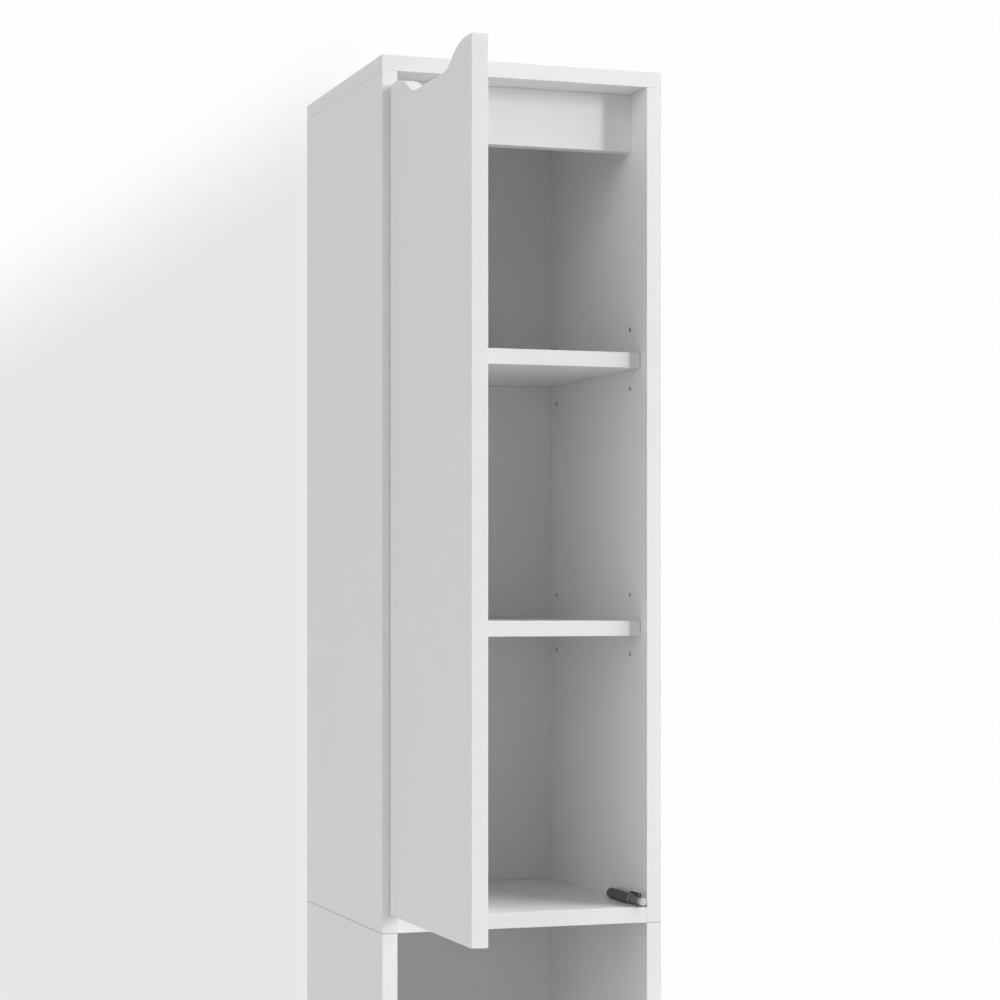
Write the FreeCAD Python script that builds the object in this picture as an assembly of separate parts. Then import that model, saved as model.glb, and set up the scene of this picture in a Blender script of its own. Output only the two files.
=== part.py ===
import FreeCAD, Part
import math
import os

# A tall, narrow bathroom cabinet that stands on the floor. It is built from coated boards as two
# boxes, one on the other: an upper box with a door and two shelves, and a lower box with an open
# niche at the top and a second compartment with a door below it. Lengths are in millimetres.
# X runs across the cabinet to the right, Y from the front to the wall, Z up from the floor.

V = FreeCAD.Vector
UP = V(0, 0, 1)
RIGHT = V(1, 0, 0)
REARWARD = V(0, 1, 0)

# ---- Driving dimensions ----

# Carcass
total_height = 1900.0
width = 300.0
depth = 300.0
board = 16.0                 # every coated board, the doors too
edge_ease = 0.4              # small bevel along every board edge
upper_height = 878.0         # from the top down to the seam between the two boxes
niche_height = 282.0         # clear height of the open niche
foot_height = 60.0           # from the floor to the underside of the lowest board
plinth_setback = 20.0
front_before_origin = 18.25  # the origin is the middle of the floor space with the upper door open

# Back panels and the strip that joins them
back_panel = 3.0
back_recess = 5.2            # from the rear edges of the sides to the back panel
groove_depth = 6.0
groove_play = 0.1            # on each side of the panel in its groove
strip_wall = 1.0
strip_height = 12.0

# Top rails
rail_height = 60.0
rail_setback = 44.6

# Shelves. The upper two are measured down from the top of the cabinet
high_shelf_drop = 288.3
low_shelf_drop = 566.5
lower_shelf_above_middle = 6.0   # from the middle of the lower compartment to its shelf's top
shelf_setback = 17.8
shelf_play = 0.5
pin_radius = 2.5
pin_in_side = 9.0
pin_in_shelf = 8.0
pin_below_shelf_top = 4.5
pin_pitch = 31.0
pin_play = 0.2
front_pin_setback = 48.0
rear_pin_from_back = 16.5

# Connectors between the boards
cam_distance = 24.0
cam_radius = 7.5
cam_depth = 12.5
cam_play = 0.15
cam_cross_reach = 4.5        # from the middle of a cam to the end of each slot for the driver
cam_slot = 1.8
bolt_thread_radius = 3.0
bolt_thread_length = 11.0
bolt_shank_radius = 2.4
bolt_head_radius = 3.5
bolt_head_length = 4.0
bolt_bore_radius = 4.0
front_cam_setback = 84.0
rear_cam_from_back = 92.0
seam_cam_from_back = 24.0
seam_dowel_setback = 40.0
dowel_radius = 4.0
dowel_in_face = 10.0
dowel_in_edge = 20.0
dowel_play = 0.5
rail_dowel_radius = 3.0
rail_dowel_spacing = 32.0

# Doors
door_side_gap = 3.0
door_bottom_gap = 2.3
door_top_gap = 14.6
wave_depth = 20.3
wave_shoulder = 18.0
wave_flank = 69.0
wave_crest_share = 0.635     # share of the two flank radii that belongs to the convex arc
swing_line_in_side = 3.15    # the line that the door swings about lies inside the side board
swing_line_setback = 4.65
upper_door_angle = 90.0
lower_door_angle = 0.0
bumper_radius = 4.0
bumper_thickness = 1.5
bumper_bevel = 0.7
bumper_from_edge = 14.0

# Hinges
hinge_from_end = 100.0
cup_radius = 17.5
cup_depth = 11.5
cup_wall = 1.0
cup_from_edge = 22.0
cup_play = 0.1
flange_margin = 2.0
flange_thickness = 1.0
flange_wing_radius = 6.0
flange_screw_offset = 9.5
flange_screw_spacing = 45.0
cup_notch_width = 15.0
cup_notch_length = 10.0      # inward from the rim
cup_notch_depth = 4.0
pivot_from_side = 8.4
pivot_behind_door = 2.5
pivot_radius = 1.0
pivot_play = 0.05
link_width = 9.0
link_thickness = 1.2
link_eye_radius = 1.9
link_reach = 27.5
link_hook = 13.6
link_closed_angle = 4.7
link_bend = 79.0
link_ratio = 0.915           # turn of the link for one of the door
arm_width = 14.0
arm_wall = 1.4
arm_height = 13.0
arm_length = 66.0
arm_neck = 16.0
arm_mouth = 6.0
plate_setback = 38.0
plate_width = 16.0
plate_height = 5.0
wing_setback = 53.0
wing_width = 12.0
wing_thickness = 2.4
wing_screw_spacing = 32.0
arm_screw_radius = 1.9
arm_screw_head_radius = 3.2
arm_screw_setbacks = (45.0, 71.0)

# Door dampers
damper_radius = 5.5
damper_round = 2.5
damper_collar_radius = 5.7
damper_collar_length = 2.0
damper_length = 63.0
damper_setback = 26.0
damper_wall_play = 0.1
plunger_radius = 3.9
plunger_play = 0.3
plunger_tail = 16.0
tip_radius = 4.0
tip_round = 1.6
tip_length = 7.0
tip_contact_gap = 0.3
plunger_stroke = 21.5
tab_setback = 16.0
tab_length = 12.0
tab_height = 6.5
tab_thickness = 1.4
tab_rib_length = 15.0
tab_rib_height = 0.9
tab_nail_radius = 0.9
tab_nail_head_radius = 1.7
tab_nail_head_height = 0.8
tab_nail_from_edges = 2.1
tab_nail_length = 9.0

# Wood screws of the hinges and the wall bracket, and the recesses in all screw heads
screw_radius = 1.8
screw_head_radius = 3.4
screw_head_height = 1.6
screw_head_bevel = 0.9
screw_length = 11.0
drive_reach = 1.9            # from the middle of a head to the end of each arm of the cross
drive_width = 0.9
drive_depth = 0.8

# Wall bracket, under the top panel
bracket_width = 64.0
bracket_leg = 30.0
bracket_drop = 40.0
bracket_steel = 2.0
bracket_bend = 4.0           # outer radius
bracket_screw_spacing = 40.0
wall_hole_spacing = 40.0
wall_hole_radius = 3.25
wall_hole_drop = 26.0
wall_hole_play = 0.75

# Floor glides
glide_height = 5.0
glide_bevel = 1.25
glide_radius = 7.5
glide_setback = 45.0
glide_nail_radius = 1.2
glide_nail_length = 14.0

# ---- Levels and planes that follow from them ----

front_y = -front_before_origin
rear_y = front_y + depth
left_inner = board - width / 2
right_inner = width / 2 - board
back_front_y = rear_y - back_recess - back_panel
strip_front_y = back_front_y - groove_play - strip_wall
top_under = total_height - board
seam_z = total_height - upper_height
upper_floor = seam_z + board
niche_floor = seam_z - niche_height
lower_ceiling = niche_floor - board
lower_floor = foot_height + board
door_inner_y = front_y + board

solids = {}
tools = {}


def add(node, *pieces):
    solids.setdefault(node, []).extend(pieces)


def cut(node, *pieces):
    tools.setdefault(node, []).extend(pieces)


# ---- Basic shapes ----

def box(x0, x1, y0, y1, z0, z1):
    return Part.makeBox(x1 - x0, y1 - y0, z1 - z0, V(x0, y0, z0))


def rod(radius, start, direction, length):
    return Part.makeCylinder(radius, length, start, direction)


def coated_board(x0, x1, y0, y1, z0, z1):
    solid = box(x0, x1, y0, y1, z0, z1)
    return solid.makeChamfer(edge_ease, solid.Edges)


def prism(points, direction):
    """A polygon pulled along a direction."""
    return Part.Face(Part.makePolygon(points + [points[0]])).extrude(direction)


def fused(first, *others):
    return first.fuse(list(others)).removeSplitter()


def slot_in_face(centre, outward, along, half_length, slot_width, slot_depth):
    """A straight slot cut into a face, with its middle at the centre."""
    half = along * half_length + along.cross(outward) * (slot_width / 2)
    corners = (centre - half - outward * slot_depth, centre + half)
    low, high = [V(*(pick(a, b) for a, b in zip(*corners))) for pick in (min, max)]
    return box(low.x, high.x, low.y, high.y, low.z, high.z)


def cross_in_face(centre, outward, along, half_length, slot_width, slot_depth):
    """Two slots that cross at the centre of a face, for a driver."""
    return [slot_in_face(centre, outward, direction, half_length, slot_width, slot_depth)
            for direction in (along, along.cross(outward))]


def wood_screw(seat, inward, across, length=screw_length):
    """A screw with a cross recess, whose head sits on the seat."""
    head = rod(screw_head_radius, seat, -inward, screw_head_height)
    head = head.makeChamfer(screw_head_bevel, [head.Edges[0]])
    recess = cross_in_face(seat - inward * screw_head_height, -inward, across, drive_reach,
                           drive_width, drive_depth)
    return fused(head.cut(recess), rod(screw_radius, seat, inward, length))


# ---- Carcass boards ----

def add_sides():
    for side, x0 in (("left", left_inner - board), ("right", right_inner)):
        for part, z0, z1 in (("upper", seam_z, top_under), ("lower", glide_height, seam_z)):
            add("%s_%s_side" % (part, side),
                coated_board(x0, x0 + board, front_y, rear_y, z0, z1))


def add_level_boards():
    add("top_panel", coated_board(left_inner - board, right_inner + board, front_y, rear_y,
                                  top_under, total_height))
    for node, top, rear in (("upper_bottom_panel", upper_floor, strip_front_y),
                            ("niche_floor_panel", niche_floor, back_front_y),
                            ("lower_bottom_panel", lower_floor, back_front_y)):
        add(node, coated_board(left_inner, right_inner, front_y, rear, top - board, top))


def add_cross_boards():
    """The rails behind the finger pulls and the plinth, each on two dowels at either end."""
    for node, part, setback, z0, z1 in (
            ("upper_rail", "upper", rail_setback, top_under - rail_height, top_under),
            ("lower_rail", "lower", rail_setback, lower_ceiling - rail_height, lower_ceiling),
            ("plinth_board", "lower", plinth_setback, glide_height, foot_height)):
        y0 = front_y + setback
        add(node, coated_board(left_inner, right_inner, y0, y0 + board, z0, z1))
        for side, face, inward in side_faces():
            for step in (-0.5, 0.5):
                at = V(face, y0 + board / 2, (z0 + z1) / 2 + step * rail_dowel_spacing)
                put_dowel("rail_dowels", "%s_%s_side" % (part, side), node, at, inward,
                          rail_dowel_radius)


def side_faces():
    return (("left", left_inner, RIGHT), ("right", right_inner, -RIGHT))


def put_dowel(node, face_board, edge_board, joint, into_edge, radius, in_face=dowel_in_face):
    """A dowel across the joint of two boards, in a bore with a little room at both ends."""
    start = joint - into_edge * (in_face + dowel_play)
    bore = rod(radius, start, into_edge, in_face + dowel_in_edge + 2 * dowel_play)
    cut(face_board, bore)
    cut(edge_board, bore)
    add(node, rod(radius, joint - into_edge * in_face, into_edge, in_face + dowel_in_edge))


# ---- Back panels ----

def add_backs():
    groove_front = back_front_y - groove_play
    groove_rear = back_front_y + back_panel + groove_play
    reach = groove_depth - 2 * groove_play
    gap = strip_wall / 2 + groove_play
    for node, z0, z1 in (("upper_back_panel", seam_z + gap, top_under + reach),
                         ("lower_back_panel", foot_height, seam_z - gap)):
        add(node, box(left_inner - reach, right_inner + reach, back_front_y,
                      back_front_y + back_panel, z0, z1))
    for side, face, inward in side_faces():
        x0, x1 = sorted((face, face - inward.x * groove_depth))
        for part, z0, z1 in (("upper", seam_z, top_under), ("lower", glide_height, seam_z)):
            cut("%s_%s_side" % (part, side), box(x0, x1, groove_front, groove_rear, z0, z1))
    cut("top_panel", box(left_inner - groove_depth, right_inner + groove_depth, groove_front,
                         groove_rear, top_under, top_under + groove_depth))

    x0 = left_inner + shelf_play
    x1 = right_inner - shelf_play
    web = box(x0, x1, groove_front - strip_wall, groove_rear + strip_wall,
              seam_z - strip_wall / 2, seam_z + strip_wall / 2)
    flanges = [box(x0, x1, y, y + strip_wall, seam_z - strip_height / 2,
                   seam_z + strip_height / 2) for y in (groove_front - strip_wall, groove_rear)]
    add("back_joint_strip", fused(web, *flanges))


# ---- Shelves ----

def add_shelf(node, part, shelf_top):
    """An adjustable shelf on four pins, each pin in the middle one of three holes."""
    add(node, coated_board(left_inner + shelf_play, right_inner - shelf_play,
                           front_y + shelf_setback, back_front_y - shelf_play,
                           shelf_top - board, shelf_top))
    pin_z = shelf_top - pin_below_shelf_top
    for y in (front_y + front_pin_setback, back_front_y - rear_pin_from_back):
        for side, face, inward in side_faces():
            for step in (-1, 0, 1):
                cut("%s_%s_side" % (part, side),
                    rod(pin_radius, V(face, y, pin_z + step * pin_pitch), -inward,
                        pin_in_side + pin_play))
            add("shelf_pins", rod(pin_radius, V(face, y, pin_z) - inward * pin_in_side, inward,
                                  pin_in_side + pin_in_shelf))
            cut(node, pin_slot(face, inward, y, pin_z, shelf_top - board))


def pin_slot(face, inward, y, pin_z, shelf_under):
    """A slot in the end of a shelf, open below and round at the top, that drops over a pin."""
    x0, x1 = sorted((face, face + inward.x * (pin_in_shelf + shelf_play + pin_play)))
    half = pin_radius + pin_play
    crown = rod(half, V(x0, y, pin_z - pin_play), RIGHT, x1 - x0)
    return crown.fuse(box(x0, x1, y - half, y + half, shelf_under, pin_z - pin_play))


# ---- Cam connectors ----

def cam_joint(face_board, edge_board, joint, into_edge, cam_face):
    """A bolt screwed into the face of one board and held by a cam in the end of the other."""
    centre = joint + into_edge * cam_distance
    mouth = centre + cam_face * (board / 2)
    cut(face_board, rod(bolt_thread_radius, joint, -into_edge, bolt_thread_length))
    cut(edge_board, rod(bolt_bore_radius, joint, into_edge, cam_distance),
        rod(cam_radius, mouth, -cam_face, cam_depth))
    thread = rod(bolt_thread_radius, joint - into_edge * bolt_thread_length, into_edge,
                 bolt_thread_length)
    shank = rod(bolt_shank_radius, joint, into_edge, cam_distance)
    head = rod(bolt_head_radius, centre - into_edge * bolt_head_length / 2, into_edge,
               bolt_head_length)
    add("cam_bolts", fused(thread, shank, head))

    barrel = rod(cam_radius - cam_play, mouth - cam_face * cam_play, -cam_face,
                 cam_depth - 2 * cam_play)
    entry = rod(bolt_bore_radius, centre + into_edge * bolt_bore_radius, -into_edge,
                cam_radius + bolt_bore_radius)
    recess = cross_in_face(mouth, cam_face, into_edge, cam_cross_reach, cam_slot, cam_slot)
    add("cam_locks", barrel.cut([entry] + recess))


def add_connectors():
    cam_rows = (front_y + front_cam_setback, back_front_y - rear_cam_from_back)
    dowel_y = sum(cam_rows) / 2
    for side, face, inward in side_faces():
        upper_side = "upper_%s_side" % side
        lower_side = "lower_%s_side" % side
        middle = face - inward.x * board / 2
        for node, side_board, top in (("upper_bottom_panel", upper_side, upper_floor),
                                      ("niche_floor_panel", lower_side, niche_floor),
                                      ("lower_bottom_panel", lower_side, lower_floor)):
            z = top - board / 2
            for y in cam_rows:
                cam_joint(side_board, node, V(face, y, z), inward, -UP)
            put_dowel("board_dowels", side_board, node, V(face, dowel_y, z), inward,
                      dowel_radius)
        for y in cam_rows:
            cam_joint("top_panel", upper_side, V(middle, y, top_under), -UP, inward)
        put_dowel("board_dowels", "top_panel", upper_side, V(middle, dowel_y, top_under), -UP,
                  dowel_radius)
        cam_joint(upper_side, lower_side, V(middle, back_front_y - seam_cam_from_back, seam_z),
                  -UP, inward)
        for y in (front_y + seam_dowel_setback, (dowel_y + cam_rows[1]) / 2):
            put_dowel("seam_dowels", upper_side, lower_side, V(middle, y, seam_z), -UP,
                      dowel_radius, dowel_in_edge)


# ---- Doors ----

def arc(centre_x, centre_z, radius, start, end):
    """An arc in the plane of the door's face, from one angle to another in degrees."""
    points = [V(centre_x + radius * math.cos(math.radians(a)), front_y,
                centre_z + radius * math.sin(math.radians(a)))
              for a in (start, (start + end) / 2, end)]
    return Part.Arc(*points).toShape(), points[0], points[2]


def door_board(x0, x1, z0, z1):
    """An inset door with a shallow wave in its top edge to pull it open by."""
    turn = 2 * math.degrees(math.atan(wave_depth / wave_flank))
    both_radii = wave_flank / math.sin(math.radians(turn))
    crest = both_radii * wave_crest_share
    foot = both_radii - crest
    left, right = x0 + wave_shoulder, x1 - wave_shoulder
    trough = z1 - wave_depth + foot
    arcs = [arc(left, z1 - crest, crest, 90, 90 - turn),
            arc(left + wave_flank, trough, foot, 270 - turn, 270),
            arc(right - wave_flank, trough, foot, 270, 270 + turn),
            arc(right, z1 - crest, crest, 90 + turn, 90)]
    corners = [V(x1, front_y, z1), V(x1, front_y, z0), V(x0, front_y, z0), V(x0, front_y, z1)]
    runs = [arcs[3][2]] + corners + [arcs[0][1]]
    edges = [edge for edge, start, end in arcs]
    edges.append(Part.makeLine(arcs[1][2], arcs[2][1]))
    edges += [Part.makeLine(a, b) for a, b in zip(runs, runs[1:])]
    outline = Part.Wire(Part.__sortEdges__(edges))
    solid = Part.Face(outline).extrude(REARWARD * board)
    return solid.makeChamfer(edge_ease, solid.Edges)


def swung(piece, angle):
    """A piece made at the closed door, turned to where the door stands."""
    piece.rotate(V(left_inner - swing_line_in_side, front_y + swing_line_setback, 0), UP, -angle)
    return piece


def add_door(part, floor, ceiling, angle, shelf_tops):
    x0, x1 = left_inner + door_side_gap, right_inner - door_side_gap
    z0, z1 = floor + door_bottom_gap, ceiling - door_top_gap
    door = door_board(x0, x1, z0, z1)
    door_tools = []
    for z in (z0 + hinge_from_end, z1 - hinge_from_end):
        centre = V(x0 + cup_from_edge, door_inner_y, z)
        cup, screws, holes = hinge_cup(centre)
        door_tools += holes
        add("%s_hinge_cups" % part, swung(cup, angle))
        add("%s_cup_screws" % part, *[swung(screw, angle) for screw in screws])
        add_hinge_arm(part, z, angle)
    add("%s_door_panel" % part, swung(door.cut(door_tools), angle))
    for shelf_top in shelf_tops:
        at = V(x1 - bumper_from_edge, door_inner_y, shelf_top - board / 2)
        pad = rod(bumper_radius, at, REARWARD, bumper_thickness)
        pad = pad.makeChamfer(bumper_bevel, [pad.Edges[0]])
        add("%s_door_bumpers" % part, swung(pad, angle))


# ---- Hinges ----

def hinge_cup(centre):
    """The cup that is let into the door, its flange, two screws and the holes for them."""
    seat = centre + REARWARD * flange_thickness
    shell = rod(cup_radius - cup_play, centre, -REARWARD, cup_depth)
    plate = rod(cup_radius + flange_margin, centre, REARWARD, flange_thickness)
    half = flange_screw_spacing / 2
    at = [centre + RIGHT * flange_screw_offset + UP * step for step in (-half, half)]
    wings = [rod(flange_wing_radius, point, REARWARD, flange_thickness) for point in at]
    bridge = box(at[0].x - flange_wing_radius, at[0].x + flange_wing_radius, centre.y, seat.y,
                 at[0].z, at[1].z)
    hollow = rod(cup_radius - cup_play - cup_wall, seat, -REARWARD,
                 cup_depth - cup_wall + flange_thickness)
    rim_x = centre.x - cup_radius - flange_margin
    notch = box(rim_x, rim_x + cup_notch_length, centre.y - cup_notch_depth, seat.y,
                centre.z - cup_notch_width / 2, centre.z + cup_notch_width / 2)
    screw_holes = [rod(screw_radius, point + REARWARD * flange_thickness, -REARWARD,
                       screw_length + flange_thickness) for point in at]
    cup = fused(shell, plate, bridge, *wings).cut([hollow, notch] + screw_holes)
    screws = [wood_screw(point + REARWARD * flange_thickness, -REARWARD, UP) for point in at]
    pocket = rod(cup_radius, centre, -REARWARD, cup_depth + cup_play)
    return cup, screws, [pocket] + screw_holes


def add_hinge_arm(part, z, angle):
    """The plate and arm on the left side board, and the link that hooks into the cup."""
    x, y = left_inner, front_y
    pivot = V(x + pivot_from_side, door_inner_y + pivot_behind_door, z)
    side_board = "%s_left_side" % part

    base = box(x, x + plate_height, y + plate_setback, pivot.y + arm_length,
               z - plate_width / 2, z + plate_width / 2)
    seats = [V(x, y + wing_setback, z + step * wing_screw_spacing) for step in (-0.5, 0.5)]
    wings = [rod(wing_width / 2, seat, RIGHT, wing_thickness) for seat in seats]
    bridge = box(x, x + wing_thickness, seats[0].y - wing_width / 2, seats[0].y + wing_width / 2,
                 seats[0].z, seats[1].z)
    wing_holes = [rod(screw_radius, seat + RIGHT * wing_thickness, -RIGHT,
                      screw_length + wing_thickness) for seat in seats]
    web_x = x + arm_height
    arm_seats = [V(web_x, y + setback, z) for setback in arm_screw_setbacks]
    arm_holes = [rod(arm_screw_radius, seat, -RIGHT, arm_height) for seat in arm_seats]
    add("%s_hinge_plates" % part, fused(base, bridge, *wings).cut(wing_holes + arm_holes))
    cut(side_board, *wing_holes)
    add("%s_hinge_screws" % part,
        *[wood_screw(seat + RIGHT * wing_thickness, -RIGHT, UP) for seat in seats])
    add("%s_hinge_screws" % part, *[arm_screw(seat) for seat in arm_seats])
    add("%s_hinge_arms" % part, hinge_arm(pivot, x + plate_height, web_x).cut(arm_holes))
    add("%s_hinge_pins" % part,
        rod(pivot_radius, pivot - UP * arm_width / 2, UP, arm_width))
    link = hinge_link(pivot)
    link.rotate(pivot, UP, -link_ratio * angle)
    add("%s_hinge_links" % part, link)


def arm_screw(seat):
    """An adjusting screw through the web of the arm into the plate."""
    head = rod(arm_screw_head_radius, seat, RIGHT, screw_head_height)
    recess = cross_in_face(seat + RIGHT * screw_head_height, RIGHT, UP, drive_reach, drive_width,
                           drive_depth)
    return fused(head.cut(recess), rod(arm_screw_radius, seat, -RIGHT, arm_height))


def hinge_arm(pivot, foot_x, web_x):
    """A bent steel channel, open towards the side board and at the front, where the link turns."""
    low = pivot - UP * arm_width / 2
    nose = link_eye_radius
    rear = pivot.y + arm_length
    neck = pivot.y + arm_neck
    outline = [V(pivot.x - nose, pivot.y, low.z), V(pivot.x + nose, pivot.y, low.z),
               V(web_x, neck, low.z), V(web_x, rear, low.z), V(foot_x, rear, low.z),
               V(foot_x, front_y + plate_setback, low.z)]
    body = fused(prism(outline, UP * arm_width), rod(nose, low, UP, arm_width))
    mouth = pivot.y + arm_mouth
    slope = (web_x - pivot.x - nose) / arm_neck
    inside_z = low.z + arm_wall
    void = [V(left_inner, pivot.y - arm_mouth, inside_z), V(web_x, pivot.y - arm_mouth, inside_z),
            V(web_x, mouth, inside_z),
            V(pivot.x + nose + slope * arm_mouth - arm_wall, mouth, inside_z),
            V(web_x - arm_wall, neck, inside_z), V(web_x - arm_wall, rear, inside_z),
            V(left_inner, rear, inside_z)]
    inside = prism(void, UP * (arm_width - 2 * arm_wall))
    pin_hole = rod(pivot_radius, low, UP, arm_width)
    return body.cut([inside, pin_hole])


def hinge_link(pivot):
    """A strip that turns on the arm's pin and hooks into the cup, at the closed door."""
    half = link_thickness / 2
    low = pivot - UP * link_width / 2
    elbow = low + RIGHT * link_reach
    reach = box(low.x, elbow.x, low.y - half, low.y + half, low.z, low.z + link_width)
    hook = box(elbow.x, elbow.x + link_hook, elbow.y - half, elbow.y + half, low.z,
               low.z + link_width)
    tip = rod(half, elbow + RIGHT * link_hook, UP, link_width)
    hook = hook.fuse(tip)
    hook.rotate(elbow, UP, -link_bend)
    eye = rod(link_eye_radius, low, UP, link_width)
    bend = rod(half, elbow, UP, link_width)
    link = fused(reach, hook, bend, eye).cut(rod(pivot_radius + pivot_play, low, UP, link_width))
    link.rotate(pivot, UP, link_closed_angle)
    return link


# ---- Door dampers ----

def add_damper(part, floor, angle):
    """A damper in the corner that the closing door presses in, drawn out as far as it is open."""
    axis = V(right_inner - damper_wall_play - damper_collar_radius, 0,
             floor + damper_collar_radius)
    front = V(axis.x, front_y + damper_setback, axis.z)
    drawn_out = plunger_stroke * angle / 90
    tip_front = V(axis.x, door_inner_y + tip_contact_gap - drawn_out, axis.z)
    shown = damper_setback - board - tip_contact_gap + plunger_stroke - tip_length

    case = rod(damper_radius, front, REARWARD, damper_length)
    case = case.makeFillet(damper_round, [case.Edges[0]])
    collar = rod(damper_collar_radius, front, REARWARD, damper_collar_length)
    tab = box(right_inner - tab_thickness, right_inner, front_y + tab_setback,
              front_y + tab_setback + tab_length, axis.z, axis.z + tab_height)
    rib = box(right_inner - tab_thickness, right_inner, front_y + tab_setback + tab_length,
              front_y + tab_setback + tab_length + tab_rib_length,
              axis.z, axis.z + damper_radius + tab_rib_height)
    nail_at = V(right_inner - tab_thickness, front_y + tab_setback + tab_nail_from_edges,
                axis.z + tab_height - tab_nail_from_edges)
    nail_hole = rod(tab_nail_radius, nail_at, RIGHT, tab_nail_length)
    bore = rod(plunger_radius + plunger_play, front, REARWARD,
               plunger_tail + plunger_stroke + plunger_play)
    add("%s_damper_case" % part, fused(case, collar, tab, rib).cut([bore, nail_hole]))
    cut("%s_right_side" % part, nail_hole)
    head = rod(tab_nail_head_radius, nail_at, -RIGHT, tab_nail_head_height)
    add("%s_damper_nail" % part, fused(head, nail_hole))

    tip = rod(tip_radius, tip_front, REARWARD, tip_length)
    add("%s_damper_tip" % part, tip.makeFillet(tip_round, [tip.Edges[2]]))
    add("%s_damper_plunger" % part,
        rod(plunger_radius, tip_front + REARWARD * tip_length, REARWARD,
            shown + plunger_tail))


# ---- Wall bracket and glides ----

def add_wall_bracket():
    """A bent steel angle under the top panel, with two holes for the screws into the wall."""
    x0, x1 = -bracket_width / 2, bracket_width / 2
    bend_y, bend_z = back_front_y - bracket_bend, top_under - bracket_bend
    leg = box(x0, x1, back_front_y - bracket_leg, bend_y, top_under - bracket_steel, top_under)
    drop = box(x0, x1, back_front_y - bracket_steel, back_front_y, top_under - bracket_drop,
               bend_z)
    axis = V(x0, bend_y, bend_z)
    bend = rod(bracket_bend, axis, RIGHT, bracket_width)
    bend = bend.cut(rod(bracket_bend - bracket_steel, axis, RIGHT, bracket_width))
    bend = bend.common(box(x0, x1, bend_y, back_front_y, bend_z, top_under))

    sides = (-0.5, 0.5)
    seats = [V(side * bracket_screw_spacing, back_front_y - bracket_leg / 2,
               top_under - bracket_steel) for side in sides]
    screw_holes = [rod(screw_radius, seat, UP, screw_length + bracket_steel) for seat in seats]
    wall_holes = [V(side * wall_hole_spacing, back_front_y - bracket_steel,
                    top_under - wall_hole_drop) for side in sides]
    add("wall_bracket", fused(leg, drop, bend).cut(
        screw_holes + [rod(wall_hole_radius, hole, REARWARD, bracket_steel)
                       for hole in wall_holes]))
    cut("top_panel", *screw_holes)
    cut("upper_back_panel", *[rod(wall_hole_radius + wall_hole_play, hole, REARWARD,
                                  bracket_steel + back_panel) for hole in wall_holes])
    add("bracket_screws", *[wood_screw(seat, UP, RIGHT, screw_length + bracket_steel)
                            for seat in seats])


def add_glides():
    for side, face, inward in side_faces():
        x = face - inward.x * board / 2
        for y in (front_y + glide_setback, rear_y - glide_setback):
            pad = rod(glide_radius, V(x, y, 0), UP, glide_height)
            pad = pad.makeChamfer(glide_bevel, [pad.Edges[2]])
            nail = rod(glide_nail_radius, V(x, y, glide_height), UP, glide_nail_length)
            add("floor_glides", fused(pad, nail))
            cut("lower_%s_side" % side, nail)


# ---- Assembly ----

def build():
    high_shelf = total_height - high_shelf_drop
    low_shelf = total_height - low_shelf_drop
    lower_shelf = (lower_floor + lower_ceiling) / 2 + lower_shelf_above_middle
    add_sides()
    add_level_boards()
    add_cross_boards()
    add_backs()
    add_connectors()
    add_shelf("upper_shelf_high", "upper", high_shelf)
    add_shelf("upper_shelf_low", "upper", low_shelf)
    add_shelf("lower_shelf", "lower", lower_shelf)
    add_door("upper", upper_floor, top_under, upper_door_angle, (high_shelf, low_shelf))
    add_door("lower", lower_floor, lower_ceiling, lower_door_angle, (lower_shelf,))
    add_damper("upper", upper_floor, upper_door_angle)
    add_damper("lower", lower_floor, lower_door_angle)
    add_wall_bracket()
    add_glides()


def write_parts():
    os.makedirs("parts", exist_ok=True)
    for node, pieces in solids.items():
        if node in tools:
            pieces = [piece.cut(tools[node]) for piece in pieces]
        shape = pieces[0] if len(pieces) == 1 else Part.makeCompound(pieces)
        shape.exportStep("parts/%s.step" % node)


build()
write_parts()
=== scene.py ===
import math

import bpy
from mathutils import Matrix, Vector


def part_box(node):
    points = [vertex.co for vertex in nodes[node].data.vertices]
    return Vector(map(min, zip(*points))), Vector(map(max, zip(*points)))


# Looks for a tall bathroom cabinet of white coated boards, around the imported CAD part.
# Lengths are in metres. X runs to the cabinet's right, Y from its front to the wall, Z up.

# ---- The photograph ----

IMAGE = 1000.0                    # pixels, each way
FOCAL = 2650.6                    # pixels
HORIZON_ROW = 591.65              # pixel row of the camera's own height
CAMERA_PLACE = (-0.8821, -2.5624, 1.3635)
CAMERA_HEADING = 18.6             # degrees that it looks to the right of straight on
SENSOR = 36.0                     # millimetres

# ---- Colours ----

COATING = (0.804, 0.800, 0.795)
WORN_COATING = (0.62, 0.61, 0.59)
BAND_JOINT = (0.55, 0.54, 0.52)
HARDBOARD = (0.30, 0.17, 0.09)
CHIP_LIGHT = (0.62, 0.45, 0.27)
CHIP_DARK = (0.30, 0.19, 0.10)
GLUE_DARK = (0.13, 0.08, 0.05)
BEECH_LIGHT = (0.66, 0.45, 0.28)
BEECH_DARK = (0.50, 0.31, 0.17)
ZINC = (0.56, 0.57, 0.58)
STEEL = (0.60, 0.59, 0.57)
NICKEL = (0.67, 0.65, 0.62)
# Painted shade, in the joint between the boxes and in the ring of the damper's tip
PAINTED_SHADE_GREY = (0.22, 0.22, 0.21)
CASE_PLASTIC = (0.064, 0.061, 0.059)
RIM_HIGHLIGHT_GREY = (0.34, 0.33, 0.32)
PLUNGER_PLASTIC = (0.17, 0.166, 0.162)
# Painted highlight on the rim around a damper's mouth
TIP_PLASTIC = (0.56, 0.56, 0.55)
WHITE_PLASTIC = (0.80, 0.80, 0.79)
PAD = (0.72, 0.73, 0.72)
FLOOR_GREY = (0.84, 0.84, 0.84)

# ---- Places of surfaces on a board ----

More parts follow.
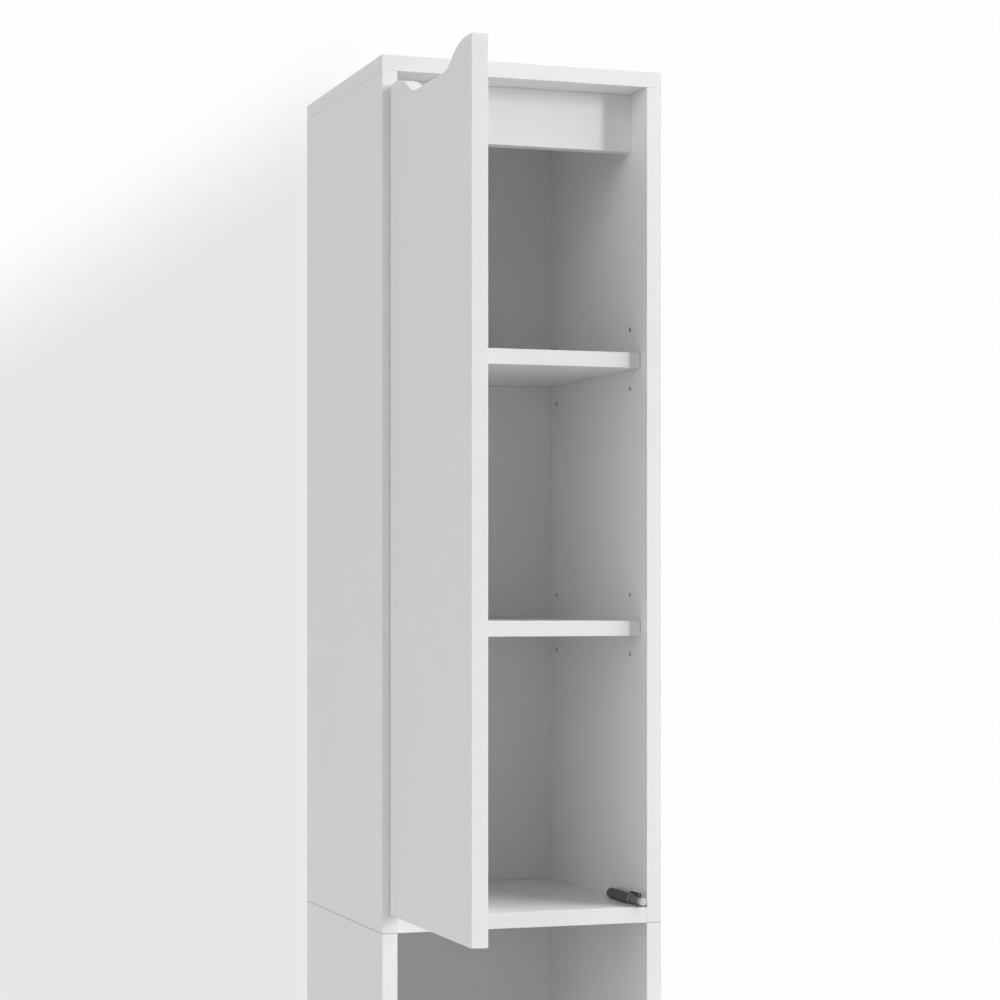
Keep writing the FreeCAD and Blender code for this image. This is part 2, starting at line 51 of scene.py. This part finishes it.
SHARP = 0.0001                    # width over which a sharp boundary fades
RAW_DEPTH = 0.0007                # a surface deeper than this in its board was cut after coating
REAR_REACH = 0.0003               # a surface closer than this to a board's rear end is raw
COARSE_DEPTH = (0.002, 0.006)     # from the fine chips near the faces to the coarse ones
LACQUER_DEPTH = (0.0003, 0.0006)  # from the front of a back panel, before it turns bare
BAND = 0.0008                     # thickness of the edging strip
WEAR_REACH = 0.0025               # from a board's edge
SEAM_SHADE_REACH = 0.0006               # half the height of the line of painted shade in the joint between the boxes
FINGER_PULL_DEPTH = 0.0213        # in a door's top edge

# ---- Places on a damper ----

CASE_LENGTH = 0.063               # from the mouth to the rear end
RIM_LENGTH = 0.002                # of the painted highlight on the rim around the mouth
RIM_TO_WALL = 0.0015              # left dark, without the painted highlight, between the rim and the cabinet's side
RING_START = (0.0019, 0.0022)     # radii between which the ring of painted shade in the tip darkens
RING_END = (0.0024, 0.0027)       # radii between which it fades again

# ---- Light ----

LIGHT_TARGET = Vector((0.0, -0.05, 1.45))
LAMP_DISTANCE = 9.0
LAMPS = (                         # name, bearing and height in degrees, width, tallness, watts
    ("key", 37.0, 10.0, 1.0, 3.0, 288.0),
    ("front_left", -45.0, 20.0, 6.0, 6.0, 266.0),
    ("left", -95.0, 15.0, 6.0, 6.0, 290.0),
    ("high_right", 65.0, 45.0, 5.0, 5.0, 590.0),
    ("front_right", 50.0, 10.0, 6.0, 6.0, 160.0),
    ("back", 165.0, -2.0, 3.0, 1.2, 380.0),
)
UNMIRRORED_LAMP = "key"           # small and bright, so its mirror image would glare
FLOOR_RADIUS = 4.0
FLOOR_FADE = (0.55, 0.98)         # shares of the radius between which the floor goes clear
FLOOR_GLOW = 0.22                 # light of its own, for the camera only

# The backdrop's shade is set by how far a direction points across and up, both divided by how
# far it points to the rear.
BACKDROP_WHITE = (0.99, 0.99, 0.99)
BACKDROP_SHADE = (0.80, 0.80, 0.80)
SHADE_SLOPE = 0.686               # of the slanting line above which the shade ends
SHADE_LINE_UP = 0.013             # where that line passes straight behind the cabinet
SHADE_SOFTNESS = (-0.036, 0.030)  # from full shade below the line to none above it
SHADE_REARWARD = (0.0, 0.1)       # from none to full shade, as in the next three
SHADE_LEFT = (-0.12, 0.10)
SHADE_RIGHT = (0.29, 0.25)
SHADE_LOW = (-0.42, -0.17)


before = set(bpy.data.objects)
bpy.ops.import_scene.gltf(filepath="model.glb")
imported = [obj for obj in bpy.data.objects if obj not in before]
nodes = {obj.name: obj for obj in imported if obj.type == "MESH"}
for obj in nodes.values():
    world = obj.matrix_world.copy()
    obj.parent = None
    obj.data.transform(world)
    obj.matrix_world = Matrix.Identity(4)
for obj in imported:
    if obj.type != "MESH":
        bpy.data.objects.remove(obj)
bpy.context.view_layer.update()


# ---- Materials ----

class Nodes:
    """Short ways to add nodes to a tree. The place is a point's position or direction."""

    def __init__(self, tree, coordinate):
        self.tree = tree
        self.place = tree.nodes.new("ShaderNodeTexCoord").outputs[coordinate]

    def put(self, socket, value):
        if isinstance(value, bpy.types.NodeSocket):
            self.tree.links.new(value, socket)
        elif hasattr(socket.default_value, "__len__") and len(socket.default_value) == 4:
            socket.default_value = (*value, 1.0)
        else:
            socket.default_value = value

    def node(self, kind, *values, **settings):
        """A node whose inputs take the values in turn. Its first output is returned."""
        node = self.tree.nodes.new("ShaderNode" + kind)
        for name, setting in settings.items():
            setattr(node, name, setting)
        for socket, value in zip(node.inputs, values):
            if value is not None:
                self.put(socket, value)
        return node.outputs[0]

    def math(self, operation, *values):
        return self.node("Math", *values, operation=operation)

    def vector(self, operation, *values):
        return self.node("VectorMath", *values, operation=operation)

    def blend(self, share, first, second):
        """A colour between the first and the second."""
        node = self.tree.nodes.new("ShaderNodeMix")
        node.data_type = "RGBA"
        for name, value in (("Factor_Float", share), ("A_Color", first), ("B_Color", second)):
            socket = next(s for s in node.inputs if s.identifier == name)
            self.put(socket, value)
        return next(s for s in node.outputs if s.identifier == "Result_Color")

    def axes(self):
        return self.node("SeparateXYZ", self.place).node.outputs

    def step(self, value, low, high, start=0.0, end=1.0):
        """Rises smoothly from start to end while the value goes from low to high."""
        return self.node("MapRange", value, low, high, start, end,
                         interpolation_type="SMOOTHSTEP")

    def stretched(self, scale):
        """The place on the object, with each axis scaled."""
        return self.vector("MULTIPLY", self.place, scale)

    def noise(self, scale, detail=2.0, roughness=0.5, place=None):
        """Clouds with a mean of about 0.5. The scale is in clouds per metre."""
        node = self.tree.nodes.new("ShaderNodeTexNoise")
        self.put(node.inputs["Vector"], place or self.place)
        node.inputs["Scale"].default_value = scale
        node.inputs["Detail"].default_value = detail
        node.inputs["Roughness"].default_value = roughness
        return node.outputs["Fac"]

    def chips(self, scale, place=None):
        """A random number for each chip-shaped cell. The scale is in cells per metre."""
        node = self.tree.nodes.new("ShaderNodeTexVoronoi")
        self.put(node.inputs["Vector"], place or self.place)
        node.inputs["Scale"].default_value = scale
        return self.node("SeparateColor", node.outputs["Color"])


class Paint(Nodes):
    """A material with one Principled shader."""

    def __init__(self, name, roughness, metallic=0.0):
        self.material = bpy.data.materials.new(name)
        self.material.use_nodes = True
        super().__init__(self.material.node_tree, "Object")
        self.shader = self.tree.nodes["Principled BSDF"]
        self.shader.inputs["Roughness"].default_value = roughness
        self.shader.inputs["Metallic"].default_value = metallic

    def colour(self, value):
        self.put(self.shader.inputs["Base Color"], value)

    def rough(self, value):
        self.put(self.shader.inputs["Roughness"], value)

    def bump(self, height, depth, strength=1.0):
        """Raises the surface by up to the depth, in metres."""
        node = self.tree.nodes.new("ShaderNodeBump")
        node.inputs["Strength"].default_value = strength
        node.inputs["Distance"].default_value = depth
        self.put(node.inputs["Height"], height)
        self.put(self.shader.inputs["Normal"], node.outputs["Normal"])


def chipboard(paint, share_coarse):
    """The cut core of a board: pressed chips, coarse in the middle and fine near the faces."""
    coarse = paint.chips(420.0, paint.stretched((1.0, 1.0, 1.8)))
    fine = paint.chips(1500.0)
    chip = paint.node("Mix", share_coarse, None, fine, coarse)
    body = paint.blend(chip, CHIP_DARK, CHIP_LIGHT)
    pores = paint.step(paint.noise(900.0, 3.0), 0.60, 0.72)
    return paint.blend(pores, body, GLUE_DARK)


def board_distances(paint, low, high):
    """How deep a point lies in the board, and how far it is from the board's nearest edge."""
    middle = (low + high) / 2
    half = (high - low) / 2
    offset = paint.vector("ABSOLUTE", paint.vector("SUBTRACT", paint.place, middle))
    room = paint.node("SeparateXYZ", paint.vector("SUBTRACT", half, offset))
    x, y, z = room.node.outputs
    least = paint.math("MINIMUM", x, y)
    most = paint.math("MAXIMUM", x, y)
    depth = paint.math("MINIMUM", least, z)
    edge = paint.math("MAXIMUM", least, paint.math("MINIMUM", most, z))
    return depth, edge


def coated_board(node, raw_rear=True, trimmed_top=0.0, seam=None):
    """White melamine with a fine emboss, an edging strip, and raw chipboard where it was cut."""
    low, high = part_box(node)
    high = high - Vector((0.0, 0.0, trimmed_top))
    paint = Paint("coated_" + node, 0.46)
    depth, edge = board_distances(paint, low, high)
    _, y, z = paint.axes()

    cloud = paint.noise(9.0, 3.0)
    white = paint.blend(cloud, [c * 0.985 for c in COATING], COATING)
    worn = paint.math("MULTIPLY", paint.step(edge, 0.0, WEAR_REACH, 1.0, 0.0),
                      paint.step(paint.noise(60.0, 4.0, 0.7), 0.52, 0.70))
    white = paint.blend(paint.math("MULTIPLY", worn, 0.05), white, WORN_COATING)
    joint = paint.math("MULTIPLY", paint.step(edge, BAND - SHARP, BAND),
                       paint.step(edge, BAND, BAND + SHARP, 1.0, 0.0))
    white = paint.blend(paint.math("MULTIPLY", joint, 0.07), white, BAND_JOINT)
    if seam is not None:
        # A line of painted shade along the joint between the upper and lower boxes.
        to_seam = paint.math("ABSOLUTE", paint.math("SUBTRACT", z, seam))
        near = paint.step(to_seam, SEAM_SHADE_REACH / 2, SEAM_SHADE_REACH, 0.6, 0.0)
        white = paint.blend(near, white, PAINTED_SHADE_GREY)

    raw = paint.step(depth, RAW_DEPTH - 2 * SHARP, RAW_DEPTH)
    if raw_rear:
        at_rear = paint.step(y, high.y - REAR_REACH, high.y - SHARP)
        raw = paint.math("MAXIMUM", raw, at_rear)
    core = chipboard(paint, paint.step(edge, *COARSE_DEPTH))
    paint.colour(paint.blend(raw, white, core))

    emboss = paint.noise(1400.0, 2.0, 0.6)
    wander = paint.step(paint.noise(35.0, 3.0), 0.3, 0.7, 0.42, 0.50)
    paint.rough(paint.node("Mix", raw, None, wander, 0.85))
    relief = paint.node("Mix", raw, None, paint.math("MULTIPLY", emboss, 0.12),
                        paint.noise(700.0, 4.0))
    paint.bump(relief, 0.0002, 0.5)
    return paint.material


def back_board(node):
    """Thin hardboard with a white lacquered front and a bare, fibrous rear."""
    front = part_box(node)[0].y
    paint = Paint("back_" + node, 0.5)
    y = paint.axes()[1]
    bare = paint.step(y, *(front + depth for depth in LACQUER_DEPTH))
    cloud = paint.noise(7.0, 3.0)
    white = paint.blend(cloud, [c * 0.97 for c in COATING], [c * 0.985 for c in COATING])
    fibre = paint.noise(160.0, 6.0, 0.75, paint.stretched((1.0, 1.0, 0.35)))
    brown = paint.blend(paint.step(fibre, 0.35, 0.70), [c * 0.7 for c in HARDBOARD],
                        [c * 1.35 for c in HARDBOARD])
    paint.colour(paint.blend(bare, white, brown))
    paint.rough(paint.node("Mix", bare, None, 0.5, 0.8))
    weave = paint.node("Mix", bare, None, paint.math("MULTIPLY", paint.noise(900.0), 0.15),
                       fibre)
    paint.bump(weave, 0.0002, 0.5)
    return paint.material


def wood(name):
    """Beech, with its grain along the dowels that lie across the cabinet."""
    paint = Paint(name, 0.6)
    grain = paint.noise(900.0, 4.0, 0.7, paint.stretched((0.12, 1.0, 1.0)))
    flecks = paint.noise(2600.0, 2.0, 0.5, paint.stretched((0.3, 1.0, 1.0)))
    tone = paint.blend(paint.step(grain, 0.35, 0.65), BEECH_DARK, BEECH_LIGHT)
    paint.colour(paint.blend(paint.step(flecks, 0.62, 0.70, 0.0, 0.5), tone, BEECH_DARK))
    paint.bump(grain, 0.0002, 0.6)
    return paint.material


def metal(name, colour, smooth, dull, scratch=0.3):
    """Bare or plated metal with cloudy roughness and fine scratches."""
    paint = Paint(name, dull, 1.0)
    cloud = paint.noise(220.0, 4.0, 0.6)
    scuff = paint.noise(2400.0, 3.0, 0.6, paint.stretched((1.0, 0.08, 1.0)))
    shade = paint.step(cloud, 0.35, 0.70)
    paint.colour(paint.blend(shade, [c * 0.86 for c in colour], colour))
    paint.rough(paint.step(cloud, 0.30, 0.70, smooth, dull))
    paint.bump(paint.node("Mix", scratch, None, cloud, scuff), 0.00004, 0.5)
    return paint.material


def plastic_paint(name, colour, smooth, dull, grain=1800.0):
    """Moulded plastic with a fine spark-eroded grain."""
    paint = Paint(name, dull)
    cloud = paint.noise(110.0, 3.0)
    pores = paint.noise(grain, 3.0, 0.6)
    paint.body = paint.blend(cloud, [c * 0.90 for c in colour], [c * 1.06 for c in colour])
    paint.colour(paint.body)
    paint.rough(paint.step(pores, 0.3, 0.7, smooth, dull))
    paint.bump(pores, 0.00006, 0.6)
    return paint


def plastic(*values):
    return plastic_paint(*values).material


def damper_case(node):
    """Dark plastic, with a painted highlight on the rim around its mouth."""
    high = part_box(node)[1]
    paint = plastic_paint(node, CASE_PLASTIC, 0.30, 0.46)
    x, y, _ = paint.axes()
    mouth = high.y - CASE_LENGTH
    rim_end = mouth + RIM_LENGTH
    rim_side = high.x - RIM_TO_WALL
    # The rim is lightened with a painted highlight that stops short of the cabinet's side.
    rim = paint.math("MULTIPLY", paint.step(y, mouth - 2 * SHARP, mouth - SHARP),
                     paint.step(y, rim_end - SHARP, rim_end + SHARP, 1.0, 0.0))
    rim = paint.math("MULTIPLY", rim, paint.step(x, rim_side - SHARP, rim_side, 1.0, 0.0))
    paint.colour(paint.blend(rim, paint.body, RIM_HIGHLIGHT_GREY))
    return paint.material


def damper_tip(node):
    """Pale plastic, with a ring of painted shade in its rounded front."""
    low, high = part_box(node)
    paint = plastic_paint(node, TIP_PLASTIC, 0.34, 0.46, 900.0)
    across = paint.vector("SUBTRACT", paint.place, (low + high) / 2)
    reach = paint.vector("LENGTH", paint.vector("MULTIPLY", across, (1.0, 0.0, 1.0)))
    reach = reach.node.outputs["Value"]
    ring = paint.math("MULTIPLY", paint.step(reach, *RING_START),
                      paint.step(reach, *RING_END, 1.0, 0.0))
    # The ring is painted shade, darkening the tip's colour.
    paint.colour(paint.blend(paint.math("MULTIPLY", ring, 0.25), paint.body, PAINTED_SHADE_GREY))
    return paint.material


def cast_zinc():
    """Die-cast zinc, cloudy and slightly pitted."""
    paint = Paint("cast_zinc", 0.42, 1.0)
    cloud = paint.noise(260.0, 5.0, 0.65)
    pits = paint.step(paint.noise(1500.0, 2.0), 0.64, 0.72)
    tone = paint.blend(paint.step(cloud, 0.3, 0.7), [c * 0.75 for c in ZINC], ZINC)
    paint.colour(paint.blend(paint.math("MULTIPLY", pits, 0.5), tone, [c * 0.4 for c in ZINC]))
    paint.rough(paint.step(cloud, 0.3, 0.7, 0.34, 0.52))
    paint.bump(paint.math("SUBTRACT", cloud, pits), 0.00008, 0.5)
    return paint.material


def clear_pad():
    """Soft, cloudy plastic of the door bumpers."""
    paint = Paint("soft_pad", 0.38)
    cloud = paint.noise(500.0, 3.0)
    paint.colour(paint.blend(cloud, [c * 0.92 for c in PAD], PAD))
    paint.shader.inputs["Transmission Weight"].default_value = 0.35
    paint.shader.inputs["IOR"].default_value = 1.45
    paint.rough(paint.step(cloud, 0.3, 0.7, 0.30, 0.42))
    paint.bump(cloud, 0.00004, 0.4)
    return paint.material


def dress(node, material):
    mesh = nodes[node].data
    mesh.materials.clear()
    mesh.materials.append(material)


def dress_boards():
    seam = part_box("upper_left_side")[0].z
    for part in ("upper", "lower"):
        for side in ("_left_side", "_right_side"):
            dress(part + side, coated_board(part + side, seam=seam))
        rail, door, back = part + "_rail", part + "_door_panel", part + "_back_panel"
        dress(rail, coated_board(rail, raw_rear=False))
        dress(door, coated_board(door, raw_rear=False, trimmed_top=FINGER_PULL_DEPTH))
        dress(back, back_board(back))
    for node in ("top_panel", "upper_bottom_panel", "niche_floor_panel", "lower_bottom_panel",
                 "upper_shelf_high", "upper_shelf_low", "lower_shelf"):
        dress(node, coated_board(node))
    dress("plinth_board", coated_board("plinth_board", raw_rear=False))


def dress_fittings():
    beech = wood("beech")
    zinc = cast_zinc()
    steel = metal("plated_steel", STEEL, 0.24, 0.38)
    nickel = metal("nickel_steel", NICKEL, 0.16, 0.30, 0.5)
    plunger = plastic("plunger_plastic", PLUNGER_PLASTIC, 0.26, 0.38)
    white = plastic("white_plastic", WHITE_PLASTIC, 0.30, 0.42)
    glide = plastic("glide_plastic", [c * 0.95 for c in WHITE_PLASTIC], 0.38, 0.55, 900.0)
    pad = clear_pad()
    for node in ("rail_dowels", "board_dowels", "seam_dowels"):
        dress(node, beech)
    for node in ("cam_bolts", "shelf_pins", "wall_bracket", "bracket_screws"):
        dress(node, steel)
    dress("cam_locks", zinc)
    dress("floor_glides", glide)
    dress("back_joint_strip", white)
    for part in ("upper", "lower"):
        for piece in ("_hinge_cups", "_hinge_arms", "_hinge_plates", "_hinge_links",
                      "_hinge_pins"):
            dress(part + piece, nickel)
        for piece in ("_cup_screws", "_hinge_screws", "_damper_nail"):
            dress(part + piece, steel)
        case, tip = part + "_damper_case", part + "_damper_tip"
        dress(case, damper_case(case))
        dress(part + "_damper_plunger", plunger)
        dress(tip, damper_tip(tip))
        dress(part + "_door_bumpers", pad)


dress_boards()
dress_fittings()


# ---- Camera ----

def add_camera():
    camera = bpy.data.objects.new("camera", bpy.data.cameras.new("camera"))
    bpy.context.scene.collection.objects.link(camera)
    camera.location = CAMERA_PLACE
    camera.rotation_euler = (math.radians(90), 0.0, math.radians(-CAMERA_HEADING))
    camera.data.sensor_width = SENSOR
    camera.data.lens = FOCAL / IMAGE * SENSOR
    camera.data.shift_y = (HORIZON_ROW - IMAGE / 2) / IMAGE
    bpy.context.scene.camera = camera


# ---- Light, floor and backdrop ----

def add_lamp(name, bearing, height, width, tallness, power):
    """A lamp that faces the cabinet, to the right of straight ahead by the bearing."""
    lamp = bpy.data.objects.new(name, bpy.data.lights.new(name, "AREA"))
    bpy.context.scene.collection.objects.link(lamp)
    turn = math.radians(bearing)
    rise = math.radians(height)
    towards = Vector((math.sin(turn) * math.cos(rise), -math.cos(turn) * math.cos(rise),
                      math.sin(rise)))
    lamp.location = LIGHT_TARGET + towards * LAMP_DISTANCE
    lamp.rotation_euler = towards.to_track_quat("Z", "Y").to_euler()
    lamp.data.shape = "RECTANGLE"
    lamp.data.size = width
    lamp.data.size_y = tallness
    lamp.data.energy = power
    lamp.visible_glossy = name != UNMIRRORED_LAMP


def add_world():
    """White for rays that see it or mirror it, and dark for others, so that it lights nothing.

    The backdrop left of the cabinet lies in a soft, wide shade, as in the photograph.
    """
    world = bpy.data.worlds.new("studio")
    bpy.context.scene.world = world
    world.use_nodes = True
    sky = Nodes(world.node_tree, "Generated")
    x, y, z = sky.axes()
    across = sky.math("DIVIDE", x, y)
    up = sky.math("DIVIDE", z, y)
    line = sky.math("MULTIPLY_ADD", across, SHADE_SLOPE, SHADE_LINE_UP)
    shade = sky.step(sky.math("SUBTRACT", up, line), *SHADE_SOFTNESS, 1.0, 0.0)
    for value, bounds in ((y, SHADE_REARWARD), (across, SHADE_LEFT), (across, SHADE_RIGHT),
                          (up, SHADE_LOW)):
        shade = sky.math("MULTIPLY", shade, sky.step(value, *bounds))
    path = sky.node("LightPath").node
    seen = path.outputs["Is Camera Ray"]
    for other in ("Is Glossy Ray", "Is Transmission Ray"):
        seen = sky.math("MAXIMUM", seen, path.outputs[other])
    background = sky.tree.nodes["Background"]
    sky.put(background.inputs["Color"], sky.blend(shade, BACKDROP_WHITE, BACKDROP_SHADE))
    sky.put(background.inputs["Strength"], seen)


def add_floor():
    """A round, pale floor that fades into the backdrop at its rim."""
    bpy.ops.mesh.primitive_circle_add(vertices=96, radius=FLOOR_RADIUS, fill_type="NGON")
    floor = bpy.context.object
    floor.name = "floor"
    paint = Paint("floor", 0.9)
    paint.colour(FLOOR_GREY)
    paint.bump(paint.noise(400.0), 0.0001, 0.3)
    reach = paint.vector("LENGTH", paint.place).node.outputs["Value"]
    fade = paint.step(reach, *(FLOOR_RADIUS * share for share in FLOOR_FADE))
    seen = paint.node("LightPath").node.outputs["Is Camera Ray"]
    glow = paint.node("Emission", None, paint.math("MULTIPLY", seen, FLOOR_GLOW))
    lit = paint.tree.nodes.new("ShaderNodeAddShader")
    mix = paint.tree.nodes.new("ShaderNodeMixShader")
    for socket, value in ((lit.inputs[0], paint.shader.outputs[0]), (lit.inputs[1], glow),
                          (mix.inputs[0], fade), (mix.inputs[1], lit.outputs[0]),
                          (mix.inputs[2], paint.node("BsdfTransparent"))):
        paint.put(socket, value)
    surface = paint.tree.nodes["Material Output"].inputs["Surface"]
    paint.put(surface, mix.outputs[0])
    floor.data.materials.append(paint.material)


bpy.context.scene.view_settings.view_transform = "Standard"
add_camera()
add_world()
add_floor()
for lamp_values in LAMPS:
    add_lamp(*lamp_values)
